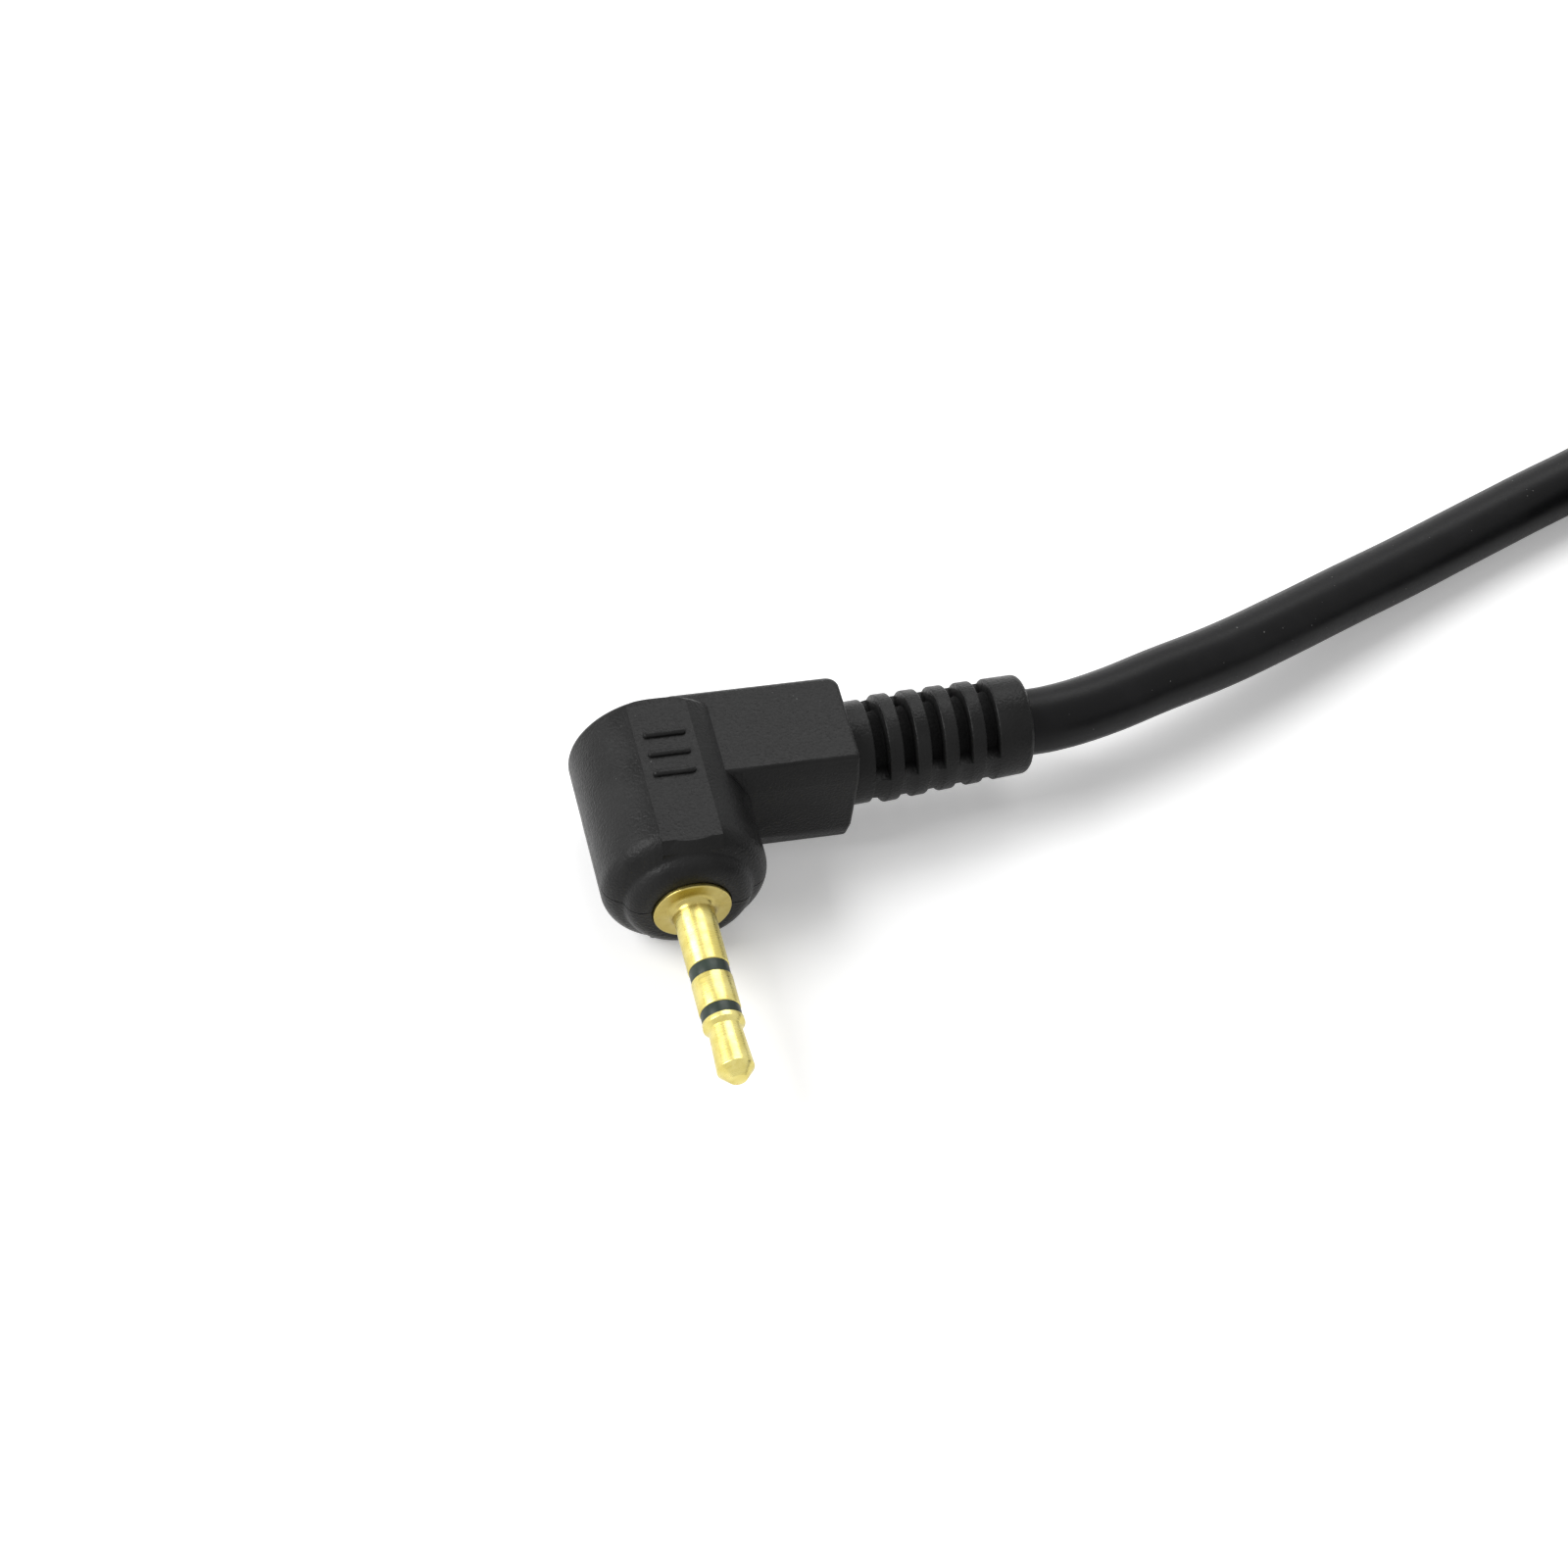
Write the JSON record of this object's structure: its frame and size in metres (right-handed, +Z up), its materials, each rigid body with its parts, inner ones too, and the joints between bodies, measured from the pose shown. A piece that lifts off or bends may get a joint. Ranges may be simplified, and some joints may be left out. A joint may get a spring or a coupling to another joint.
{
  "type": "cable shutter release",
  "caption": "Camera cable release: hand switch with a two-stage button that slides to lock, wound cord and right-angle gold jack plug.",
  "frame": {"origin": "middle of the hand switch's underside, on the surface that everything lies on", "axes": "+Z up; +X along the hand switch from its round front end to its cord; the coil and the plug lie on the +Y side, and the plug's pin points along -Y"},
  "size_m": [0.1868, 0.082, 0.0192],
  "materials": {
    "shell_plastic": "fine matte texture",
    "button_plastic": "satin",
    "inner_plastic": "as moulded",
    "spring_steel": "drawn wire",
    "contact_bronze": "rolled strip",
    "screw_steel": "blackened",
    "cord_jacket": "satin",
    "soft_rubber": "matte",
    "plug_moulding": "fine spark-eroded texture",
    "gold_plate": "bright gold plating",
    "band_plastic": "satin",
    "bare_copper": "twisted strands",
    "white_insulation": "satin",
    "red_insulation": "satin"
  },
  "bodies": {
    "switch_body": {"upper_shell": "shell_plastic", "lower_shell": "shell_plastic", "contact_block": "inner_plastic", "shutter_contact": "contact_bronze", "common_solder_tag": "contact_bronze", "focus_solder_tag": "contact_bronze", "case_screw_front": "screw_steel", "case_screw_left": "screw_steel", "case_screw_right": "screw_steel", "cord_clamp": "inner_plastic", "switch_boot": "soft_rubber", "switch_cord_tail": "cord_jacket", "switch_wire_common": "bare_copper", "switch_wire_focus": "white_insulation", "switch_wire_shutter": "red_insulation", "cord_to_switch": "cord_jacket", "cord_coil": "cord_jacket", "cord_to_plug": "cord_jacket", "coil_tie": "soft_rubber", "plug_housing": "plug_moulding", "plug_strain_relief": "plug_moulding", "plug_pin_holder": "inner_plastic", "sleeve_contact": "gold_plate", "ring_contact": "gold_plate", "tip_contact": "gold_plate", "sleeve_insulator": "band_plastic", "ring_insulator": "band_plastic", "plug_cord_tail": "cord_jacket", "plug_wire_sleeve": "bare_copper", "plug_wire_ring": "white_insulation", "plug_wire_tip": "red_insulation"},
    "lock_carriage": {"lock_carriage": "button_plastic", "return_spring": "spring_steel"},
    "release_button": {"release_button": "button_plastic"},
    "common_contact": {"common_contact": "contact_bronze"},
    "focus_contact": {"focus_contact": "contact_bronze"}
  },
  "joints": [
    {"name": "lock_slide", "type": "slide", "parent": "switch_body", "child": "lock_carriage", "axis": [-1, 0, 0], "range_m": [0, 0.004]},
    {"name": "button_press", "type": "slide", "parent": "lock_carriage", "child": "release_button", "axis": [0, 0, -1], "range_m": [0, 0.0022], "stiffness_N_per_m": 300, "springref_m": -0.002, "deforming": ["return_spring"]},
    {"name": "common_flex", "type": "hinge", "parent": "switch_body", "child": "common_contact", "pos_m": [0.00875, 0, 0.0092], "axis": [0, -1, 0], "range_deg": [0, 6.6]},
    {"name": "focus_flex", "type": "hinge", "parent": "switch_body", "child": "focus_contact", "pos_m": [0.00875, 0, 0.00785], "axis": [0, -1, 0], "range_deg": [0, 3.3]}
  ],
  "couplings": [
    {"joint": "common_flex", "follows": "button_press", "rad_per_m": 51.95},
    {"joint": "focus_flex", "follows": "button_press", "rad_per_m": 25.97}
  ]
}
